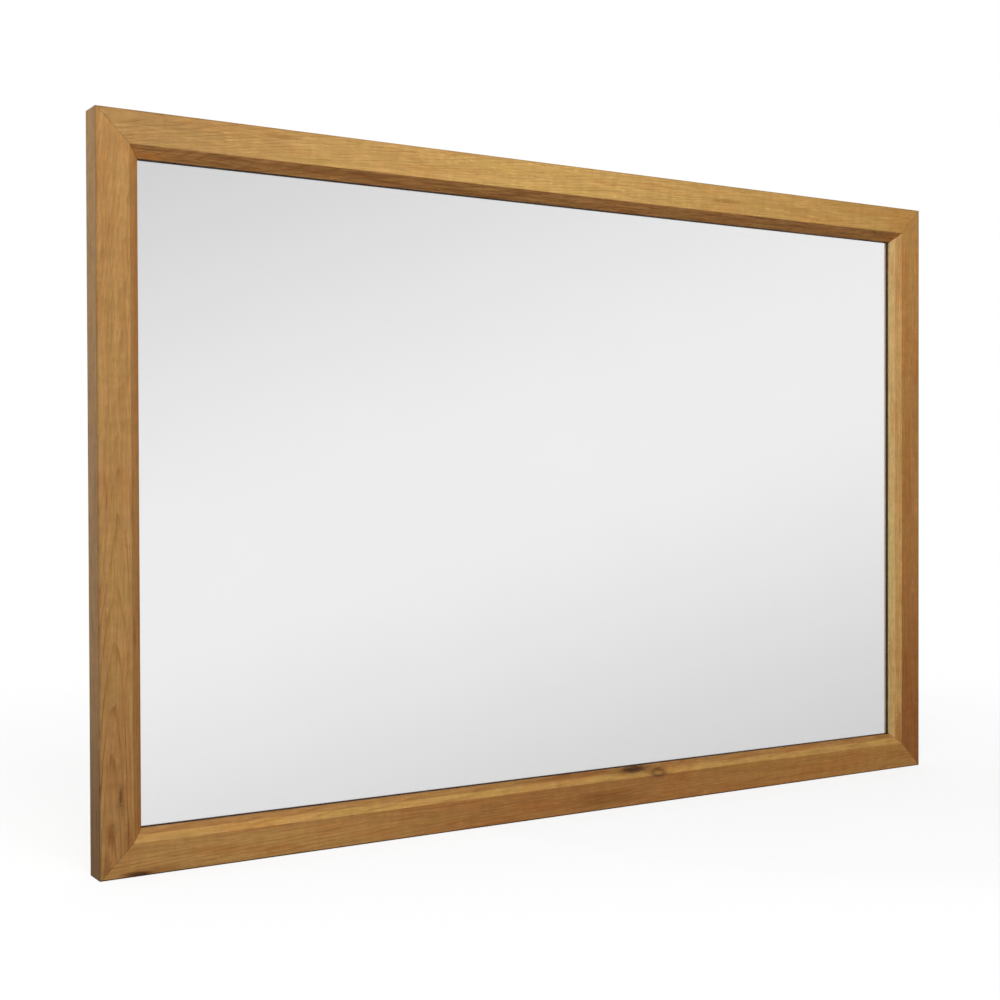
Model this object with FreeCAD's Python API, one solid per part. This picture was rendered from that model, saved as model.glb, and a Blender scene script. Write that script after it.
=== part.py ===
"""Oak-framed wall mirror: four mitred oak rails round a recessed mirror.

Frame of reference: +X to the viewer's right, +Z up, -Y towards the viewer, +Y towards the wall.
The origin is the centre of the overall box.  The mirror is modelled hanging the long way across.

From the front to the back the frame holds the mirror glass, its silvering, a foam cushion and an
MDF backing board whose back is flush with the oak.  Turn buttons keep the board in.  Two folded
strap hangers on the stiles hang the mirror the long way across, and two on the rails hang it
upright.  Rubber bumpers at the corners hold it off the wall.

Each piece is written to parts/NODE.step, in millimetres.
"""

import FreeCAD
import Part

import math
import os

# ---------------------------------------------------------------- driving sizes, millimetres
WIDTH = 1200.0  # over the frame, left to right
HEIGHT = 800.0  # over the frame, top to bottom
FRAME_DEPTH = 34.0  # oak, front face to back face

FACE_WIDTH = 35.5  # flat front face, outer edge to crest
BEVEL_WIDTH = 12.5  # from the crest in to the lip, seen square on
LIP_LAND = 2.0  # square edge of the lip, bevel to glass
REBATE_WIDTH = 11.0  # how far the lip covers the glass
FRONT_ARRIS = 2.0  # rounding of the outer front edge
CREST_ARRIS = 1.5  # rounding where the face turns into the bevel
LIP_ARRIS = 0.5  # rounding where the bevel meets the land
BACK_ARRIS = 1.0  # rounding of the outer back edge

GLASS_THICKNESS = 4.0
GLASS_SEAM = 0.4  # chamfer ground on the glass's edges
SILVERING_THICKNESS = 0.2  # silver, backing paint and safety film
CUSHION_THICKNESS = 6.0
CUSHION_WIDTH = 12.0
BOARD_THICKNESS = 9.0
PANE_CLEARANCE = 2.0  # all round, between the rebate and the glass or board
SETTING_BLOCK_LENGTH = 60.0
SETTING_BLOCK_INSET = 320.0  # outer side edge to the block's centre

BISCUIT_WIDTH = 19.0
BISCUIT_THICKNESS = 4.0
BISCUIT_COVER = 4.7  # oak past each end of a biscuit, along the mitre
SLOT_TO_SHOULDER = 1.7  # oak between a biscuit's slot and the rebate's shoulder
SLOT_CLEARANCE = 0.1  # between a biscuit and its slot

BUTTON_LENGTH = 32.0
BUTTON_ROUND_R = 7.0  # round end, about the pivot
BUTTON_NOSE_R = 4.5
BUTTON_THICKNESS = 1.5
BUTTON_LIFT = 1.2  # how far the finger lip at the nose is bent up
BUTTON_LIP = 4.0  # length of that lip
BUTTON_TO_REBATE = 11.0  # pivot to the rebate's edge
RAIL_BUTTON_INSET = 200.0  # outer side edge to the end buttons on the rails
STILE_BUTTON_INSET = 250.0  # top or bottom edge to the buttons on the stiles
BUTTON_SCREW_R = 1.5
BUTTON_SCREW_LENGTH = 14.0  # under the head
TURN_CLEARANCE = 0.08  # button to screw, to head and to the faces under it

RING_WIRE_R = 1.5
RING_CORNER_R = 2.9  # to the wire's middle
RING_LEG = 8.0  # ring axis to the centre of the round end
RING_CLEARANCE = 0.08  # wire to the fold that holds it
RING_SIDE_CLEARANCE = 0.1  # sides of the strap to where the wire starts to bend
RING_REST_GAP = 0.2  # hanging ring to the strap under it

STRAP_WIDTH = 14.0
STRAP_THICKNESS = 1.2  # one layer
STRAP_FOLD = 8.0  # ring axis to where the upper layer lands on the lower one
STRAP_SCREW_GAP = 5.0  # hanging ring to the first screw's head
STRAP_SCREW_PITCH = 14.0
STRAP_END = 8.0  # last screw to the rounded end
STRAP_SCREW_R = 1.75
STRAP_SCREW_LENGTH = 16.0  # under the head
STRAP_HOLE_CLEARANCE = 0.25
STILE_HANGER_DROP = 150.0  # top edge to the ring axis, hung the long way across
RAIL_HANGER_DROP = 270.0  # left edge to the ring axis, hung upright with that edge on top

BUMPER_HEIGHT = 7.0
BUMPER_BASE_R = 8.0
BUMPER_TIP_R = 6.5
BUMPER_EDGE_R = 1.0
BUMPER_INSET = 18.0  # from both outer edges to the bumper's centre

SCREW_HEAD_RATIO = 2.0  # head radius over shank radius
HEAD_HEIGHT_RATIO = 1.25  # head height over shank radius
PILOT_CLEARANCE = 0.02  # shank to the wood it is driven into
SCREW_TIP_RATIO = 1.6  # point's length over shank radius
RECESS_HALF_LENGTH_RATIO = 1.05  # cross recess, over shank radius
RECESS_HALF_WIDTH_RATIO = 0.28
RECESS_DEPTH_RATIO = 0.75

# ---------------------------------------------------------------- sizes that follow
STACK = GLASS_THICKNESS + SILVERING_THICKNESS + CUSHION_THICKNESS + BOARD_THICKNESS
SHOULDER = FRAME_DEPTH - STACK  # front face to the rebate's shoulder
BEVEL_DEPTH = SHOULDER - LIP_LAND
RAIL_WIDTH = FACE_WIDTH + BEVEL_WIDTH
BACK_WIDTH = RAIL_WIDTH - REBATE_WIDTH  # oak left at the back, outer edge to rebate

FRONT_Y = -(FRAME_DEPTH + BUMPER_HEIGHT) / 2
BACK_Y = FRONT_Y + FRAME_DEPTH
GLASS_Y = FRONT_Y + SHOULDER
SILVERING_Y = GLASS_Y + GLASS_THICKNESS
CUSHION_Y = SILVERING_Y + SILVERING_THICKNESS
BOARD_Y = CUSHION_Y + CUSHION_THICKNESS

PANE_WIDTH = WIDTH - 2 * (BACK_WIDTH + PANE_CLEARANCE)
PANE_HEIGHT = HEIGHT - 2 * (BACK_WIDTH + PANE_CLEARANCE)

BISCUIT_DEPTH = SHOULDER - SLOT_TO_SHOULDER - SLOT_CLEARANCE - BISCUIT_THICKNESS / 2  # its middle
SLOT_FRONT = BISCUIT_DEPTH - BISCUIT_THICKNESS / 2 - SLOT_CLEARANCE
OAK_AT_SLOT = FACE_WIDTH + BEVEL_WIDTH * SLOT_FRONT / BEVEL_DEPTH  # outer edge to bevel
BISCUIT_LENGTH = OAK_AT_SLOT * math.sqrt(2) - 2 * BISCUIT_COVER
BISCUIT_INSET = OAK_AT_SLOT / 2  # both outer edges to the biscuit's centre

RING_HALF_WIDTH = STRAP_WIDTH / 2 + RING_SIDE_CLEARANCE + RING_CORNER_R  # to the wire's middle
RING_AXIS_H = STRAP_THICKNESS + RING_WIRE_R + RING_CLEARANCE  # ring axis above the oak
RING_REACH = RING_LEG + RING_HALF_WIDTH  # ring axis to the middle of its round end
# The hanging ring leans out just enough to clear the doubled strap, which its round end crosses.
RING_CROSSING = RING_LEG + math.sqrt(RING_HALF_WIDTH**2 - (STRAP_WIDTH / 2) ** 2)
RING_REST_TILT = math.degrees(
    math.asin((2 * STRAP_THICKNESS + RING_WIRE_R + RING_REST_GAP - RING_AXIS_H) / RING_CROSSING)
)

FIRST_SCREW = RING_REACH + RING_WIRE_R + STRAP_SCREW_GAP + STRAP_SCREW_R * SCREW_HEAD_RATIO
STRAP_SCREW_AT = (FIRST_SCREW, FIRST_SCREW + STRAP_SCREW_PITCH)  # from the ring axis
STRAP_LENGTH = STRAP_SCREW_AT[-1] + STRAP_END  # ring axis to rounded end

X_AXIS = FreeCAD.Vector(1, 0, 0)
Y_AXIS = FreeCAD.Vector(0, 1, 0)
Z_AXIS = FreeCAD.Vector(0, 0, 1)
CENTRE = FreeCAD.Vector(0, 0, 0)

# Turn about +Y that carries a rail modelled along the bottom to its own side.
BOTTOM, TOP, LEFT, RIGHT = 0.0, 180.0, 90.0, -90.0


# ---------------------------------------------------------------- small helpers
def vec(x, y, z):
    return FreeCAD.Vector(x, y, z)


def box(x0, x1, y0, y1, z0, z1):
    """A box between two corners."""
    return Part.makeBox(x1 - x0, y1 - y0, z1 - z0, vec(x0, y0, z0))


def turned(shape, side):
    """A copy turned about +Y through the frame's centre."""
    copy = shape.copy()
    copy.rotate(CENTRE, Y_AXIS, side)
    return copy


def on_back(shape, x, z, turn):
    """A fitting modelled on the plane y = 0, turned about +Y and put on the frame's back at x, z."""
    copy = turned(shape, turn)
    copy.translate(vec(x, BACK_Y, z))
    return copy


def round_corner(before, corner, after, radius):
    """Start, middle and end of the arc that rounds a corner of a path."""
    into = (before - corner).normalize()
    out = (after - corner).normalize()
    half = into.getAngle(out) / 2
    back = radius / math.tan(half)
    centre = corner + (into + out).normalize() * (radius / math.sin(half))
    middle = centre + (corner - centre).normalize() * radius
    return corner + into * back, middle, corner + out * back


def rounded_face(points, radii):
    """A flat face with straight sides; each corner with a radius over zero is rounded."""
    count = len(points)
    runs = []
    for i, (corner, radius) in enumerate(zip(points, radii)):
        if radius > 0:
            runs.append(round_corner(points[i - 1], corner, points[(i + 1) % count], radius))
        else:
            runs.append((corner,))
    edges = []
    for i, run in enumerate(runs):
        if len(run) == 3:
            edges.append(Part.Arc(*run).toShape())
        edges.append(Part.LineSegment(run[-1], runs[(i + 1) % count][0]).toShape())
    return Part.Face(Part.Wire(edges))


def single(shape):
    """The one solid of a boolean's result, with its split faces merged."""
    return shape.removeSplitter().Solids[0]


# ---------------------------------------------------------------- fasteners
def screw(shank_r, length):
    """Pan-head screw whose head sits on y = 0 and whose point is at y = -length."""
    head_r = shank_r * SCREW_HEAD_RATIO
    head_h = shank_r * HEAD_HEIGHT_RATIO
    tip = shank_r * SCREW_TIP_RATIO
    rim = head_h / 2
    dome = head_h - rim
    dome_r = (head_r**2 + dome**2) / (2 * dome)
    dome_turn = math.asin(head_r / dome_r) / 2
    outline = [
        vec(0, -length, 0),
        vec(shank_r, -length + tip, 0),
        vec(shank_r, 0, 0),
        vec(head_r, 0, 0),
        vec(head_r, rim, 0),
    ]
    edges = [Part.LineSegment(a, b).toShape() for a, b in zip(outline, outline[1:])]
    top = vec(0, head_h, 0)
    drop = dome_r * (1 - math.cos(dome_turn))
    bulge = vec(dome_r * math.sin(dome_turn), head_h - drop, 0)
    edges.append(Part.Arc(outline[-1], bulge, top).toShape())
    edges.append(Part.LineSegment(top, outline[0]).toShape())
    body = Part.Face(Part.Wire(edges)).revolve(CENTRE, Y_AXIS, 360)
    long_half = shank_r * RECESS_HALF_LENGTH_RATIO
    short_half = shank_r * RECESS_HALF_WIDTH_RATIO
    floor = head_h - shank_r * RECESS_DEPTH_RATIO
    above = head_h + shank_r
    cross = box(-long_half, long_half, floor, above, -short_half, short_half).fuse(
        box(-short_half, short_half, floor, above, -long_half, long_half)
    )
    return single(body.cut(cross))


def pilot_hole(shank_r, length):
    """The hole in the oak for a screw whose head's underside is above y = 0."""
    return Part.makeCylinder(shank_r + PILOT_CLEARANCE, length, vec(0, -length, 0), Y_AXIS)


# ---------------------------------------------------------------- turn buttons
BUTTON_HEAD_H = BUTTON_THICKNESS + 2 * TURN_CLEARANCE  # underside of its screw's head
BUTTON_NOSE = BUTTON_LENGTH - BUTTON_ROUND_R - BUTTON_NOSE_R  # pivot to the nose's centre


def turn_button():
    """Pressed steel button, pivot at the origin, nose towards +Z, just clear of y = 0."""
    lean = math.asin((BUTTON_ROUND_R - BUTTON_NOSE_R) / BUTTON_NOSE)
    across, along = math.cos(lean), math.sin(lean)

    def edge_point(radius, centre_z, sign):
        return vec(sign * radius * across, 0, centre_z + radius * along)

    low_left = edge_point(BUTTON_ROUND_R, 0, -1)
    low_right = edge_point(BUTTON_ROUND_R, 0, 1)
    top_left = edge_point(BUTTON_NOSE_R, BUTTON_NOSE, -1)
    top_right = edge_point(BUTTON_NOSE_R, BUTTON_NOSE, 1)
    plan = Part.Wire(
        [
            Part.Arc(low_right, vec(0, 0, -BUTTON_ROUND_R), low_left).toShape(),
            Part.LineSegment(low_left, top_left).toShape(),
            Part.Arc(top_left, vec(0, 0, BUTTON_NOSE + BUTTON_NOSE_R), top_right).toShape(),
            Part.LineSegment(top_right, low_right).toShape(),
        ]
    )
    tallest = BUTTON_THICKNESS + BUTTON_LIFT
    column = Part.Face(plan).extrude(vec(0, tallest, 0))
    end = BUTTON_NOSE + BUTTON_NOSE_R
    bend = end - BUTTON_LIP
    side = [
        vec(-BUTTON_ROUND_R, 0, -BUTTON_ROUND_R),
        vec(-BUTTON_ROUND_R, 0, bend),
        vec(-BUTTON_ROUND_R, BUTTON_LIFT, end),
        vec(-BUTTON_ROUND_R, tallest, end),
        vec(-BUTTON_ROUND_R, BUTTON_THICKNESS, bend),
        vec(-BUTTON_ROUND_R, BUTTON_THICKNESS, -BUTTON_ROUND_R),
    ]
    sheet = Part.Face(Part.makePolygon(side + side[:1])).extrude(vec(2 * BUTTON_ROUND_R, 0, 0))
    hole = Part.makeCylinder(BUTTON_SCREW_R + TURN_CLEARANCE, tallest, CENTRE, Y_AXIS)
    button = single(column.common(sheet).cut(hole))
    button.translate(vec(0, TURN_CLEARANCE, 0))
    return button


def button_places():
    """Name, x, z and turn of each button, nose inwards over the board."""
    inset = BACK_WIDTH - BUTTON_TO_REBATE
    edge_x, edge_z = WIDTH / 2 - inset, HEIGHT / 2 - inset
    end_x, end_z = WIDTH / 2 - RAIL_BUTTON_INSET, HEIGHT / 2 - STILE_BUTTON_INSET
    places = []
    for i, x in enumerate((-end_x, 0.0, end_x), 1):
        places.append((f"top_turn_button_{i}", x, edge_z, TOP))
        places.append((f"bottom_turn_button_{i}", x, -edge_z, BOTTOM))
    for i, z in enumerate((-end_z, end_z), 1):
        places.append((f"left_turn_button_{i}", -edge_x, z, LEFT))
        places.append((f"right_turn_button_{i}", edge_x, z, RIGHT))
    return places


# ---------------------------------------------------------------- hangers
def strap():
    """Folded steel strap, ring axis over the origin, running down -Z on the plane y = 0."""
    inner = RING_WIRE_R + RING_CLEARANCE
    outer = inner + STRAP_THICKNESS
    t = STRAP_THICKNESS
    half = STRAP_WIDTH / 2
    # The upper layer leaves the roll on a tangent that lands on the lower layer at the fold.
    lean = 2 * math.atan2(inner, STRAP_FOLD)
    across, along = math.cos(lean), math.sin(lean)

    def side(y, z):
        return vec(-half, y, z)

    def off_roll(radius):
        return side(RING_AXIS_H + radius * across, -radius * along)

    def roll(radius):
        top, middle = off_roll(radius), side(RING_AXIS_H, radius)
        return Part.Arc(top, middle, side(RING_AXIS_H - radius, 0)).toShape()

    def line(a, b):
        return Part.LineSegment(a, b).toShape()

    leaves = off_roll(outer)
    lands = side(2 * t, leaves.z - (leaves.y - 2 * t) * across / along)
    outline = Part.Wire(
        [
            roll(outer),
            line(side(0, 0), side(0, -STRAP_LENGTH)),
            line(side(0, -STRAP_LENGTH), side(2 * t, -STRAP_LENGTH)),
            line(side(2 * t, -STRAP_LENGTH), lands),
            line(lands, leaves),
        ]
    )
    eye = Part.Wire(
        [
            roll(inner),
            line(side(t, 0), side(t, -STRAP_FOLD)),
            line(side(t, -STRAP_FOLD), off_roll(inner)),
        ]
    )
    body = Part.Face(outline).cut(Part.Face(eye)).extrude(vec(STRAP_WIDTH, 0, 0))
    tongue = Part.makeCylinder(half, 2 * t, vec(0, 0, half - STRAP_LENGTH), Y_AXIS)
    tongue = tongue.fuse(box(-half, half, 0, RING_AXIS_H + outer, half - STRAP_LENGTH, outer))
    body = body.common(tongue)
    for below in STRAP_SCREW_AT:
        hole_r = STRAP_SCREW_R + STRAP_HOLE_CLEARANCE
        body = body.cut(Part.makeCylinder(hole_r, 2 * t, vec(0, 0, -below), Y_AXIS))
    return single(body)


def hanger_ring():
    """Welded D of round wire, its bar in the strap's fold, hanging down over the strap."""
    corner = RING_CORNER_R
    bar_end = RING_HALF_WIDTH - corner

    def wire_disc(centre, normal):
        return Part.Face(Part.Wire(Part.makeCircle(RING_WIRE_R, centre, normal)))

    pieces = [Part.makeCylinder(RING_WIRE_R, 2 * bar_end, vec(-bar_end, 0, 0), X_AXIS)]
    for sign in (-1, 1):
        elbow = wire_disc(vec(sign * bar_end, 0, 0), X_AXIS)
        pieces.append(elbow.revolve(vec(sign * bar_end, 0, -corner), Y_AXIS, sign * 90))
        leg_x = sign * RING_HALF_WIDTH
        pieces.append(
            Part.makeCylinder(RING_WIRE_R, RING_LEG - corner, vec(leg_x, 0, -RING_LEG), Z_AXIS)
        )
    end = wire_disc(vec(RING_HALF_WIDTH, 0, -RING_LEG), Z_AXIS)
    pieces.append(end.revolve(vec(0, 0, -RING_LEG), Y_AXIS, 180))
    ring = single(pieces[0].fuse(pieces[1:]))
    ring.rotate(CENTRE, X_AXIS, RING_REST_TILT)
    ring.translate(vec(0, RING_AXIS_H, 0))
    return ring


def hanger_places():
    """Name, x, z and turn of each hanger: two for hanging across, two for hanging upright."""
    mid_x, mid_z = (WIDTH - BACK_WIDTH) / 2, (HEIGHT - BACK_WIDTH) / 2
    stile_z, rail_x = HEIGHT / 2 - STILE_HANGER_DROP, -WIDTH / 2 + RAIL_HANGER_DROP
    return [
        ("left_hanger", -mid_x, stile_z, 0.0),
        ("right_hanger", mid_x, stile_z, 0.0),
        ("top_hanger", rail_x, mid_z, -90.0),
        ("bottom_hanger", rail_x, -mid_z, -90.0),
    ]


def strap_screw_places():
    """x, z and turn of each hanger screw."""
    places = []
    for _, x, z, turn in hanger_places():
        for along in STRAP_SCREW_AT:
            offset = FreeCAD.Rotation(Y_AXIS, turn).multVec(vec(0, 0, -along))
            places.append((x + offset.x, z + offset.z, turn))
    return places


# ---------------------------------------------------------------- mitre biscuits
def lens(length, width, thickness):
    """A biscuit: two arcs meeting in points along X, with its middle at the origin."""
    left, right = vec(-length / 2, 0, 0), vec(length / 2, 0, 0)
    outline = Part.Wire(
        [
            Part.Arc(left, vec(0, 0, width / 2), right).toShape(),
            Part.Arc(right, vec(0, 0, -width / 2), left).toShape(),
        ]
    )
    solid = Part.Face(outline).extrude(vec(0, thickness, 0))
    solid.translate(vec(0, -thickness / 2, 0))
    return solid


def corner_places():
    """Name, x, z and the turn that lays +X along the mitre at each corner."""
    x, z = WIDTH / 2 - BISCUIT_INSET, HEIGHT / 2 - BISCUIT_INSET
    return [
        ("bottom_left", -x, -z, -45.0),
        ("bottom_right", x, -z, 45.0),
        ("top_left", -x, z, 45.0),
        ("top_right", x, z, -45.0),
    ]


def in_mitre(shape, x, z, turn):
    """A copy laid along the mitre at a corner, at the biscuits' depth."""
    copy = turned(shape, turn)
    copy.translate(vec(x, FRONT_Y + BISCUIT_DEPTH, z))
    return copy


# ---------------------------------------------------------------- oak frame
def rail(length, span):
    """One rail along the bottom of a frame of this height, mitred at both ends."""
    edge = -span / 2
    section = [
        (0, 0, FRONT_ARRIS),
        (FACE_WIDTH, 0, CREST_ARRIS),
        (RAIL_WIDTH, BEVEL_DEPTH, LIP_ARRIS),
        (RAIL_WIDTH, SHOULDER, 0),
        (BACK_WIDTH, SHOULDER, 0),
        (BACK_WIDTH, FRAME_DEPTH, 0),
        (0, FRAME_DEPTH, BACK_ARRIS),
    ]
    points = [vec(-length / 2, FRONT_Y + depth, edge + inward) for inward, depth, _ in section]
    face = rounded_face(points, [radius for _, _, radius in section])
    bar = face.extrude(vec(length, 0, 0))
    half, inner = length / 2, RAIL_WIDTH
    plan = [
        vec(-half, FRONT_Y, edge),
        vec(half, FRONT_Y, edge),
        vec(half - inner, FRONT_Y, edge + inner),
        vec(-half + inner, FRONT_Y, edge + inner),
    ]
    mitred = Part.Face(Part.makePolygon(plan + plan[:1])).extrude(vec(0, FRAME_DEPTH, 0))
    return bar.common(mitred)


def oak_frame():
    """The four rails, with their biscuit slots and screw holes."""
    rails = {
        "bottom_rail": turned(rail(WIDTH, HEIGHT), BOTTOM),
        "top_rail": turned(rail(WIDTH, HEIGHT), TOP),
        "left_stile": turned(rail(HEIGHT, WIDTH), LEFT),
        "right_stile": turned(rail(HEIGHT, WIDTH), RIGHT),
    }
    slot = lens(
        BISCUIT_LENGTH + 2 * SLOT_CLEARANCE,
        BISCUIT_WIDTH + 2 * SLOT_CLEARANCE,
        BISCUIT_THICKNESS + 2 * SLOT_CLEARANCE,
    )
    tools = [in_mitre(slot, x, z, turn) for _, x, z, turn in corner_places()]
    button_hole = pilot_hole(BUTTON_SCREW_R, BUTTON_SCREW_LENGTH - BUTTON_HEAD_H)
    tools += [on_back(button_hole, x, z, turn) for _, x, z, turn in button_places()]
    strap_hole = pilot_hole(STRAP_SCREW_R, STRAP_SCREW_LENGTH - 2 * STRAP_THICKNESS)
    tools += [on_back(strap_hole, x, z, turn) for x, z, turn in strap_screw_places()]
    return {name: single(shape.cut(tools)) for name, shape in rails.items()}


# ---------------------------------------------------------------- what the rebate holds
def pane(y, thickness):
    """A sheet that fills the rebate but for its clearance."""
    x, z = PANE_WIDTH / 2, PANE_HEIGHT / 2
    return box(-x, x, y, y + thickness, -z, z)


def mirror_stack():
    """Glass, silvering, cushion strips, board and the blocks that they stand on."""
    glass = pane(GLASS_Y, GLASS_THICKNESS)
    x, z = PANE_WIDTH / 2, PANE_HEIGHT / 2
    y0, y1 = CUSHION_Y, CUSHION_Y + CUSHION_THICKNESS
    w = CUSHION_WIDTH
    block_x, block_z = WIDTH / 2 - SETTING_BLOCK_INSET, -HEIGHT / 2 + BACK_WIDTH
    half_block = SETTING_BLOCK_LENGTH / 2
    nodes = {
        "mirror_glass": glass.makeChamfer(GLASS_SEAM, glass.Edges),
        "mirror_silvering": pane(SILVERING_Y, SILVERING_THICKNESS),
        "top_cushion_strip": box(-x, x, y0, y1, z - w, z),
        "bottom_cushion_strip": box(-x, x, y0, y1, -z, -z + w),
        "left_cushion_strip": box(-x, -x + w, y0, y1, -z + w, z - w),
        "right_cushion_strip": box(x - w, x, y0, y1, -z + w, z - w),
        "backing_board": pane(BOARD_Y, BOARD_THICKNESS),
    }
    for name, middle in (("left", -block_x), ("right", block_x)):
        nodes[f"{name}_setting_block"] = box(
            middle - half_block,
            middle + half_block,
            GLASS_Y,
            BACK_Y,
            block_z,
            block_z + PANE_CLEARANCE,
        )
    return nodes


# ---------------------------------------------------------------- bumpers
def bumper():
    """Rubber bumper on the plane y = 0, its flat tip towards the wall."""
    cone = Part.makeCone(BUMPER_BASE_R, BUMPER_TIP_R, BUMPER_HEIGHT, CENTRE, Y_AXIS)
    rim = [e for e in cone.Edges if e.BoundBox.YMin > BUMPER_HEIGHT / 2]
    return cone.makeFillet(BUMPER_EDGE_R, rim)


# ---------------------------------------------------------------- the whole mirror
def mirror():
    """Every node of the mirror, by name."""
    nodes = oak_frame()
    nodes.update(mirror_stack())

    biscuit = lens(BISCUIT_LENGTH, BISCUIT_WIDTH, BISCUIT_THICKNESS)
    rubber = bumper()
    bumper_x, bumper_z = WIDTH / 2 - BUMPER_INSET, HEIGHT / 2 - BUMPER_INSET
    for corner, x, z, turn in corner_places():
        nodes[f"{corner}_biscuit"] = in_mitre(biscuit, x, z, turn)
        nodes[f"{corner}_bumper"] = on_back(
            rubber, math.copysign(bumper_x, x), math.copysign(bumper_z, z), 0
        )

    button = turn_button()
    button_screw = screw(BUTTON_SCREW_R, BUTTON_SCREW_LENGTH)
    button_screw.translate(vec(0, BUTTON_HEAD_H, 0))
    for name, x, z, turn in button_places():
        nodes[name] = on_back(button, x, z, turn)
    nodes["turn_button_screws"] = Part.makeCompound(
        [on_back(button_screw, x, z, turn) for _, x, z, turn in button_places()]
    )

    plate, ring = strap(), hanger_ring()
    strap_screw = screw(STRAP_SCREW_R, STRAP_SCREW_LENGTH)
    strap_screw.translate(vec(0, 2 * STRAP_THICKNESS, 0))
    for name, x, z, turn in hanger_places():
        nodes[f"{name}_strap"] = on_back(plate, x, z, turn)
        nodes[f"{name}_ring"] = on_back(ring, x, z, turn)
    nodes["hanger_screws"] = Part.makeCompound(
        [on_back(strap_screw, x, z, turn) for x, z, turn in strap_screw_places()]
    )
    return nodes


def main():
    os.makedirs("parts", exist_ok=True)
    for name, shape in sorted(mirror().items()):
        valid = all(s.isValid() and s.Volume > 0 for s in shape.Solids)
        print(f"{name}: {len(shape.Solids)} solid(s), {shape.Volume / 1000:.2f} cm3, valid {valid}")
        shape.exportStep(f"parts/{name}.step")
    print(f"bevel {BEVEL_WIDTH} x {BEVEL_DEPTH:.1f}, shoulder {SHOULDER:.1f}, tilt {RING_REST_TILT:.2f}")


main()
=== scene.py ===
"""Looks for the oak-framed wall mirror: materials, the mirror's reflecting film, stage, light and camera.

Frame of reference: +X to the viewer's right, +Z up, -Y towards the viewer, metres.
Every pattern is worked out from the object's own coordinates, in millimetres, so it stays on the wood.
"""
import math

import bmesh
import bpy
from mathutils import Matrix, Vector


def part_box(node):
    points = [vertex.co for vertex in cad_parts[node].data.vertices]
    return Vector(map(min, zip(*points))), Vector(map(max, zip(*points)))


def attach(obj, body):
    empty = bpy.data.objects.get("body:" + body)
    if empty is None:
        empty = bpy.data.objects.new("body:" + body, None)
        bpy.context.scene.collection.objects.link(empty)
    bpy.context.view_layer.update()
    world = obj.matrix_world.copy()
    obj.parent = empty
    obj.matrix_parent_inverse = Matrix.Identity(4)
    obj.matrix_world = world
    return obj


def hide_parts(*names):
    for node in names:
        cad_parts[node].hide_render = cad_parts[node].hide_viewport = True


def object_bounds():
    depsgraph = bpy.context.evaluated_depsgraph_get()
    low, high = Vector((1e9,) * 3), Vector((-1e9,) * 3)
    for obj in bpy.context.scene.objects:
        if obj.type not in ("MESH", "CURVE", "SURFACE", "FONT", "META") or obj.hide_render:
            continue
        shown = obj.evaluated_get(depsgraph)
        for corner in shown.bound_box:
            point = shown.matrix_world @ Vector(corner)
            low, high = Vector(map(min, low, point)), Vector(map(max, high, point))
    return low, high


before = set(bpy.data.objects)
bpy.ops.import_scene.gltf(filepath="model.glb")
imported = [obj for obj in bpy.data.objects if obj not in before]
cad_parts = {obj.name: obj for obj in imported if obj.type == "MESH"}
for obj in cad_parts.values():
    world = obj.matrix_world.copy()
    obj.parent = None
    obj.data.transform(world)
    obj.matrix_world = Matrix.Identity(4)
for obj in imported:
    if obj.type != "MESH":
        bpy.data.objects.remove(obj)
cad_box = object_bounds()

MM = 1000.0  # millimetres in a metre


# ---------------------------------------------------------------- sizes read from the frame

stile_low, stile_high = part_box("right_stile")
HALF_WIDTH = stile_high.x * MM
HALF_HEIGHT = stile_high.z * MM
FRONT = stile_low.y * MM  # the oak's flat front face
LIP = HALF_WIDTH - stile_low.x * MM  # outer edge to the lip beside the glass
BEVEL_WIDTH = 12.5  # lip to crest, seen square on
CREST = LIP - BEVEL_WIDTH  # outer edge to the crest, where the bevel starts
BEVEL_TURN = CREST + 6.6  # outer edge to where the bevel's two colours meet

FILM_GAP = 0.00004  # metres from the back of the glass, so that no two faces share a plane
FILM_SILVER = 0.06  # millimetres of silver in front of the paint
film_low, film_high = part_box("mirror_silvering")
film_low = film_low + Vector((0.0, FILM_GAP, 0.0))
FILM_BACK = film_low.y * MM + FILM_SILVER  # where the paint starts


# ---------------------------------------------------------------- a small language for node patterns


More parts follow.
